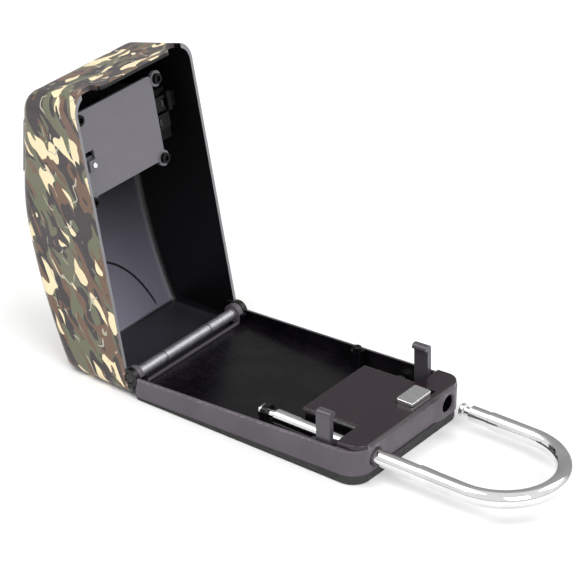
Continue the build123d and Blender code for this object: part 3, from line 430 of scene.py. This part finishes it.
def makeHingeFinish():
    made = Finish("drawnSteelBar")
    painted = abs(made.along(lidAcross)) > hingeFinish["bareTo"]
    drawn = made.noise(60.0, 3.0, 0.6, made.stretched((1.0, 30.0, 1.0)))
    steel = made.blend(drawn.ramp(0.3, 0.7), hingeFinish["steel"], hingeFinish["steelLight"])
    made.set("Base Color", made.blend(painted, steel, hingeFinish["paint"]))
    made.set("Metallic", 1.0 - painted)
    made.set("Roughness", drawn.ramp(0.25, 0.75, 0.46, 0.58))
    made.bump(drawn, 0.00002, 0.5)
    return made.material


# Shackle: polished plating, with faint handling marks and fine rings where it has rubbed in its holes

chromeFinish = {
    "dark": grey(0.70),
    "light": grey(0.78),
    "rough": 0.045,
    "smearRough": 0.05,
    "ringRough": 0.10,
    "ringsTo": 0.09,  # the rings end this far out
}


def makeChrome(name):
    made = Finish(name, Metallic=1.0)
    smear = made.noise(55.0, 3.0, 0.6)
    made.set("Base Color", made.blend(smear.ramp(0.4, 0.7), chromeFinish["dark"], chromeFinish["light"]))
    rings = made.noise(40.0, 2.0, 0.6, made.stretched((60.0, 1.0, 1.0))).ramp(0.55, 0.75)
    rings = rings * (made.along((1.0, 0.0, 0.0)) < chromeFinish["ringsTo"])
    marks = chromeFinish["smearRough"] * smear.ramp(0.5, 0.8) + chromeFinish["ringRough"] * rings
    made.set("Roughness", chromeFinish["rough"] + marks)
    made.bump(rings, 0.000008, 0.5)
    return made.material


# Plain finishes of the other pieces

def makePaint(name, tone, rough, grain=1600.0, depth=0.00005, spread=0.05, shine=0.5):
    # powder paint: fine grain, slight change of shade and gloss over the surface
    made = Finish(name, Specular_IOR_Level=shine)
    cloud = made.noise(90.0, 3.0, 0.55)
    made.set("Base Color", made.blend(cloud.ramp(0.3, 0.7), scaled(tone, 1.0 - 2.5 * spread), tone))
    made.set("Roughness", made.noise(260.0, 2.0, 0.6).ramp(0.3, 0.7, rough - spread, rough + spread))
    made.bump(made.noise(grain, 2.0, 0.6), depth, 0.6)
    return made.material


def makeMetal(name, tone, rough, streak=(1.0, 1.0, 1.0), scale=900.0, haze=1.08):
    # bare metal: drawn or brushed lines in one direction
    made = Finish(name, Metallic=1.0)
    brushed = made.noise(scale, 3.0, 0.6, made.stretched(streak))
    made.set("Base Color", made.blend(brushed.ramp(0.3, 0.7), tone, scaled(tone, haze)))
    made.set("Roughness", brushed.ramp(0.25, 0.75, rough * 0.8, rough * 1.25))
    made.bump(brushed, 0.00002, 0.5)
    return made.material


def makeRubber(name, dark, light):
    made = Finish(name, Roughness=0.7)
    made.set("Base Color", made.blend(made.noise(400.0, 3.0).ramp(0.3, 0.7), dark, light))
    made.bump(made.noise(2200.0), 0.00008, 0.7)
    return made.material


finishes = {
    "lid": makeLidFinish(),
    "tray": makeTrayFinish(),
    "cover": makePaint("plumBlackCover", colour(32, 21, 28), 0.2, depth=0.00002),
    "plate": makePaint("greyLockPlate", colour(95, 93, 99), 0.38, depth=0.00002, spread=0.025),
    # the hooks are gloss black; their mid grey base colour is a painted reflection of the light they
    # mirror
    "hook": makePaint("glossBlackHook", colour(72, 69, 74), 0.16, depth=0.00001),
    "pad": makeRubber("blackPad", grey(0.012), grey(0.026)),
    "chrome": makeChrome("chromedShackle"),
    "hinge": makeHingeFinish(),
    "steel": makeMetal("satinSteel", grey(0.50), 0.28, (60.0, 1.0, 60.0), 60.0),
    "screw": makeMetal("blackenedScrew", grey(0.012), 0.34, haze=1.6),
    "latch": makeMetal("blackenedLatch", grey(0.012), 0.36, haze=1.8),
    "block": makeMetal("brushedBlock", grey(0.66), 0.27, (1.0, 30.0, 30.0), 60.0),
    "spring": makeMetal("springSteel", grey(0.45), 0.22),
    "brass": makeMetal("turnedBrass", (0.62, 0.44, 0.19, 1.0), 0.24),
    "plastic": makePaint("grainedBlack", colour(18, 17, 19), 0.5, 1300.0, 0.0001),
    "housing": makePaint("innerBlack", colour(12, 11, 13), 0.55, 1300.0, 0.0001, shine=0.12),
    "wheel": makePaint("glossBlackWheel", colour(20, 20, 22), 0.2, depth=0.00001),
    "bead": makePaint("innerBlackBead", colour(26, 24, 29), 0.3, shine=0.3),
    "number": makePaint("whiteNumbers", colour(224, 224, 218), 0.4, depth=0.00001, spread=0.03),
}
nodeFinish = {
    "lid": ["lid_shell"],
    "tray": ["base_tray", "shackle_stop", "locating_peg"],
    "cover": ["lock_cover"],
    "plate": ["lock_plate", "code_lever"],
    "hook": ["near_hook", "far_hook"],
    "pad": ["back_pad"],
    "chrome": ["shackle", "code_lever_pin"],
    "hinge": ["hinge_pin"],
    "steel": ["hook_screws", "cover_pin", "dial_axle"],
    "screw": ["cover_screws", "lock_plate_screws"],
    "latch": ["near_latch", "far_latch"],
    "block": ["release_slide"],
    "spring": ["release_leaf", "shackle_clip"] + [name for name in nodes if name.endswith("_spring")],
    "brass": [name for name in nodes if name.startswith("dial_sleeve")],
    "plastic": ["dial_bezel", "weather_cover", "open_button"],
    "housing": ["dial_housing"],
    "wheel": [name for name in nodes if name.startswith("dial_wheel")],
}
for finish, names in nodeFinish.items():
    for name in names:
        slots = nodes[name].data.materials
        slots.clear()
        slots.append(finishes[finish])
print("stage: materials made for", sum(len(names) for names in nodeFinish.values()), "nodes")


# Raised numbers on the wheels' lands

numbers = {
    "axle": (0.110007, 0.037042),  # along the lid and out from the hinge
    "radius": 0.011,
    "firstAngle": math.radians(90.0 - 14.5),  # the land that faces out through the bezel
    "step": math.radians(36.0),
    "size": 0.0047,
    "sunk": 0.00015,
    "proud": 0.00018,
}


def numberShape(digit):
    # the digit as a mesh, cut finely enough to bend round the wheel, with its middle at 0
    curve = bpy.data.curves.new("digit", "FONT")
    curve.body = str(digit)
    curve.size = numbers["size"]
    curve.extrude = 0.5  # only tells front from back, as makeNumbers sets the thickness
    curve.align_x = "CENTER"
    curve.resolution_u = 5
    holder = bpy.data.objects.new("digit", curve)
    mesh = bpy.data.meshes.new_from_object(holder)
    shape = bmesh.new()
    shape.from_mesh(mesh)
    bmesh.ops.subdivide_edges(shape, edges=shape.edges[:], cuts=1, use_grid_fill=True)
    points = np.array([vertex.co[:] for vertex in shape.verts])
    faces = [[vertex.index for vertex in face.verts] for face in shape.faces]
    shape.free()
    bpy.data.meshes.remove(mesh)
    bpy.data.objects.remove(holder)
    bpy.data.curves.remove(curve)
    points[:, :2] -= (points[:, :2].min(axis=0) + points[:, :2].max(axis=0)) / 2
    return points, faces


def makeNumbers(wheel, shapes):
    # angle: firstAngle + step * digit - height / radius; a digit's width runs across the lid
    low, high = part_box(f"dial_wheel_{wheel}")
    middle = (low[1] + high[1]) / 2
    allPoints = []
    allFaces = []
    start = 0
    for digit, (points, faces) in enumerate(shapes):
        angle = numbers["firstAngle"] + numbers["step"] * digit - points[:, 1] / numbers["radius"]
        radius = numbers["radius"] + np.where(points[:, 2] > 0.0, numbers["proud"], -numbers["sunk"])
        along = numbers["axle"][0] + radius * np.cos(angle)
        out = numbers["axle"][1] + radius * np.sin(angle)
        allPoints.append(lidPoints(along, middle - points[:, 0], out))
        allFaces += [[start + corner for corner in face] for face in faces]
        start += len(points)
    places = np.concatenate(allPoints).tolist()
    piece = newPiece(f"wheelNumbers{wheel}", places, allFaces, finishes["number"])
    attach(piece, f"dial_{wheel}")


numberShapes = [numberShape(digit) for digit in range(10)]
for wheel in range(1, 5):
    makeNumbers(wheel, numberShapes)
print("stage: numbers on four wheels")


# A round bar along a path, for the bead and the springs

def makeTube(name, centre, tangent, outward, radius, sides, material):
    # skin: centre + radius * (outward * cos(a) + beside * sin(a)), closed by a flat cap at each end
    tangent = tangent / np.linalg.norm(tangent, axis=1)[:, None]
    beside = np.cross(tangent, outward)
    around = (np.arange(sides) * math.tau / sides)[None, :, None]
    skin = outward[:, None] * np.cos(around) + beside[:, None] * np.sin(around)
    points = (centre[:, None] + np.reshape(radius, (-1, 1, 1)) * skin).reshape(-1, 3)
    rings = np.arange(len(points)).reshape(-1, sides)
    turned = np.roll(rings, -1, axis=1)
    faces = np.stack([rings[:-1], turned[:-1], turned[1:], rings[1:]], axis=-1).reshape(-1, 4).tolist()
    faces += [rings[0, ::-1].tolist(), rings[-1].tolist()]
    return newPiece(name, points.tolist(), faces, material, smooth=True)


# Moulded bead in an arch across the inside of the lid's front wall

bead = {
    "centre": (-0.010, -0.012),  # along the lid and across it
    "reach": (0.051, 0.0424),
    "start": -0.036,  # its ends, across the lid
    "end": 0.0287,
    "radius": 0.0006,
    "thinEnds": 0.1,  # it thins out over this share of each half, down to this share of its section
    "thinnest": 0.02,
    "wallTop": 0.0492,  # the wall's inner face: highest place, where that is, and its bend
    "wallTopAlong": 0.0737,
    "wallBend": 0.2978,
    "steps": 90,
    "sides": 12,
}


def makeBead():
    # arch: ((u - centre) / reach) squared + ((y - centre) / reach) squared = 1
    # wall's inner face: wallTop - wallBend + root(wallBend squared - (u - wallTopAlong) squared)
    centreAlong, centreAcross = bead["centre"]
    reachAlong, reachAcross = bead["reach"]
    first, last = [math.acos((bead[end] - centreAcross) / reachAcross) for end in ("start", "end")]
    angle = np.linspace(first, last, bead["steps"])
    across = centreAcross + reachAcross * np.cos(angle)
    along = centreAlong + reachAlong * np.sin(angle)
    drop = bead["wallBend"] - np.sqrt(bead["wallBend"] ** 2 - (along - bead["wallTopAlong"]) ** 2)
    centre = lidPoints(along, across, bead["wallTop"] - drop)
    tangent = np.gradient(centre, axis=0)
    outward = np.cross(tangent, np.cross(-lidOut, tangent))
    outward /= np.linalg.norm(outward, axis=1)[:, None]
    fromEnd = 1.0 - abs(np.linspace(-1.0, 1.0, bead["steps"]))
    radius = bead["radius"] * np.sqrt(np.clip(fromEnd / bead["thinEnds"], bead["thinnest"], 1.0))
    piece = makeTube("beadInLid", centre, tangent, outward, radius, bead["sides"], finishes["bead"])
    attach(piece, "lid")


makeBead()
print("stage: bead in the lid")


# Coil springs wound along the button's and the latches' spring pieces, in place of them

springs = {
    "coilOfButton": {
        "node": "button_spring",
        "axis": tuple(lidOut),
        "radius": 0.004,
        "wire": 0.0008,
        "turns": 5.0,
        "travel": 0.004,
        "fixedEnd": 0,
    },
    "coilOfNearLatch": {
        "node": "near_latch_spring",
        "axis": (0.0, 1.0, 0.0),
        "radius": 0.00115,
        "wire": 0.0005,
        "turns": 8.0,
        "travel": 0.0024,
        "fixedEnd": 1,
    },
    "coilOfFarLatch": {
        "node": "far_latch_spring",
        "axis": (0.0, 1.0, 0.0),
        "radius": 0.00115,
        "wire": 0.0005,
        "turns": 5.0,
        "travel": 0.0024,
        "fixedEnd": 0,
    },
}
springMesh = {"ringsToTurn": 36, "sides": 12}


def nodeExtent(name, direction):
    # lowest and highest place of a node's vertices along a direction
    mesh = nodes[name].data
    points = np.empty(len(mesh.vertices) * 3)
    mesh.vertices.foreach_get("co", points)
    turn = np.array(nodes[name].matrix_world)
    places = points.reshape(-1, 3) @ turn[:3, :3].T + turn[:3, 3]
    heights = places @ np.array(direction)
    return heights.min(), heights.max()


def makeSpring(name, settings):
    # ring centre: axis * (start + t * length) + radius * (first * cos(a) + second * sin(a)),
    # while t goes from 0 to 1 and a through all the turns
    axis = np.array(settings["axis"])
    second = lidAlong
    first = np.cross(second, axis)
    start, end = nodeExtent(settings["node"], axis)
    wire = settings["wire"] / 2
    middle = sum(np.mean(nodeExtent(settings["node"], side)) * side for side in (first, second))
    rings = int(springMesh["ringsToTurn"] * settings["turns"]) + 1
    share = np.linspace(0.0, 1.0, rings)[:, None]
    angle = share * settings["turns"] * math.tau
    outward = first * np.cos(angle) + second * np.sin(angle)
    length = end - start - 2 * wire
    centre = middle + axis * (start + wire + share * length) + settings["radius"] * outward
    rise = length / (settings["turns"] * math.tau)
    tangent = settings["radius"] * (second * np.cos(angle) - first * np.sin(angle)) + rise * axis
    piece = makeTube(name, centre, tangent, outward, wire, springMesh["sides"], finishes["spring"])
    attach(piece, "lid")
    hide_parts(settings["node"])
    anchor = middle + axis * (start, end)[settings["fixedEnd"]]
    keep = 1.0 - settings["travel"] / (end - start)
    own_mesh(piece)


for name, settings in springs.items():
    makeSpring(name, settings)
print("stage: three coil springs")


# Floor, world and lamps

studio = {
    "floorSize": 6.0,
    "floorColour": grey(0.84),
    "floorGlow": 0.02,  # a little more light on the floor as the camera and metal see it
    "light": [(0.0, 0.45), (0.8, 0.85)],  # what lights the object, by height
    # what metal sees: the darker of a grey backdrop, which stands one way, and a skirting, by height
    "backdrop": (-0.62, 0.785, 0.0),
    "mirrored": [(0.0, 1.0), (0.35, 1.0), (0.5, 0.48), (1.0, 0.36)],
    "skirting": [(0.0, 0.25), (0.05, 0.25), (0.09, 1.0)],
    "lampsAimAt": (0.0, 0.0, 0.05),
}


def makeFloor():
    half = studio["floorSize"] / 2
    corners = [(-half, -half, 0.0), (half, -half, 0.0), (half, half, 0.0), (-half, half, 0.0)]
    made = Finish("paleFloor", Roughness=0.9, Base_Color=studio["floorColour"])
    seen = made.node("ShaderNodeLightPath", output="Is Camera Ray")
    reflected = made.node("ShaderNodeLightPath", output="Is Glossy Ray")
    glow = made.node("ShaderNodeEmission", None, {0: seen.either(reflected) * studio["floorGlow"]})
    both = made.node("ShaderNodeAddShader", None, {0: Value(made, made.surface.outputs[0]), 1: glow})
    made.fill(made.output.inputs[0], both)
    newPiece("floor", corners, [(0, 1, 2, 3)], made.material)


def makeWorld():
    # white as the camera sees it; metal sees a room with a grey backdrop and a dark skirting
    world = bpy.data.worlds.new("studio")
    world.use_nodes = True
    bpy.context.scene.world = world
    made = NodeTree(world.node_tree)
    direction = made.node("ShaderNodeTexCoord", output="Generated")
    height = made.node("ShaderNodeSeparateXYZ", None, {0: direction}, 2)
    behind = made.dot(direction, studio["backdrop"])

    def graded(name, place):
        return made.node("ShaderNodeValToRGB", {"stops": studio[name]}, {0: place})

    mirrored = made.blend(1.0, graded("mirrored", behind), graded("skirting", height), "DARKEN")
    light = graded("light", height)
    for ray, sees in [("Glossy", mirrored), ("Transmission", grey(1.0)), ("Camera", grey(1.0))]:
        light = made.blend(made.node("ShaderNodeLightPath", output=f"Is {ray} Ray"), light, sees)
    made.fill(made.nodes["Background"].inputs[0], light)


lamps = {
    "keyPanel": {"at": (-0.5, -0.5, 1.4), "size": 0.9, "power": 11.0},
    "fillPanel": {"at": (1.3, -0.6, 0.9), "size": 0.9, "power": 15.0},
    "backPanel": {"at": (0.9, 1.1, 1.3), "size": 0.9, "power": 10.0},
}


def makeLamp(name, settings):
    data = bpy.data.lights.new(name, "AREA")
    data.size = settings["size"]
    data.energy = settings["power"]
    lamp = bpy.data.objects.new(name, data)
    bpy.context.scene.collection.objects.link(lamp)
    lamp.location = settings["at"]
    beam = Vector(studio["lampsAimAt"]) - lamp.location
    lamp.rotation_euler = beam.to_track_quat("-Z", "Y").to_euler()


# Camera at the photograph's angle

view = {
    "place": (0.77795, -1.08881, 0.80385),
    "right": (0.80460, 0.59343, 0.02131),
    "up": (-0.30236, 0.37854, 0.87481),
    "focalLengths": 5.4584,  # the lens, in widths of the picture
    "sensorWidth": 36.0,
    "farthest": 50.0,
}


def makeCamera():
    right = Vector(view["right"]).normalized()
    back = right.cross(Vector(view["up"])).normalized()
    up = back.cross(right)
    data = bpy.data.cameras.new("camera")
    data.sensor_width = view["sensorWidth"]
    data.lens = view["focalLengths"] * view["sensorWidth"]
    data.clip_end = view["farthest"]
    camera = bpy.data.objects.new("camera", data)
    bpy.context.scene.collection.objects.link(camera)
    rotation = Matrix((right, up, back)).transposed().to_4x4()
    camera.matrix_world = Matrix.Translation(view["place"]) @ rotation
    bpy.context.scene.camera = camera


makeFloor()
makeWorld()
for name, settings in lamps.items():
    makeLamp(name, settings)
makeCamera()
bpy.context.scene.view_settings.view_transform = "Standard"
print("stage: floor, lamps and camera placed")
